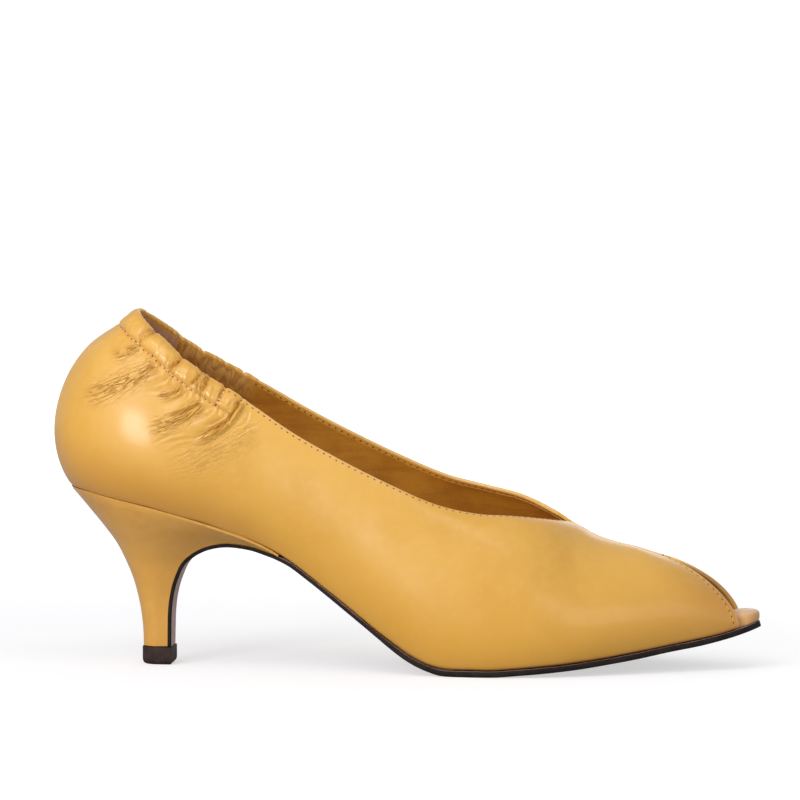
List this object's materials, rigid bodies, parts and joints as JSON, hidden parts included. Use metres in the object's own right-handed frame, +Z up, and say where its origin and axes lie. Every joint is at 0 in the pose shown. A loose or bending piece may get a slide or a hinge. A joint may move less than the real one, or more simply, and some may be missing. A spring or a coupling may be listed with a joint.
{
  "type": "peep toe pump",
  "caption": "Right slip-on shoe with a slim covered heel, a gathered elastic collar and a narrow slit at the pointed open toe.",
  "frame": {"origin": "centre of the heel's floor face", "axes": "+X along the shoe to the toe, +Y to the inner side of this right shoe, +Z up"},
  "size_m": [0.2419, 0.0814, 0.1213],
  "materials": {
    "upper_leather": "smooth ochre leather with a soft sheen",
    "insole_leather": "smooth tan lining leather",
    "sole_leather": "dark brown sole leather",
    "heel_leather": "smooth ochre leather with a soft sheen",
    "top_piece_rubber": "dark brown matt rubber"
  },
  "bodies": {
    "root": {"upper": "upper_leather", "insole": "insole_leather", "outsole": "sole_leather", "heel": "heel_leather", "top_piece": "top_piece_rubber"}
  },
  "joints": []
}
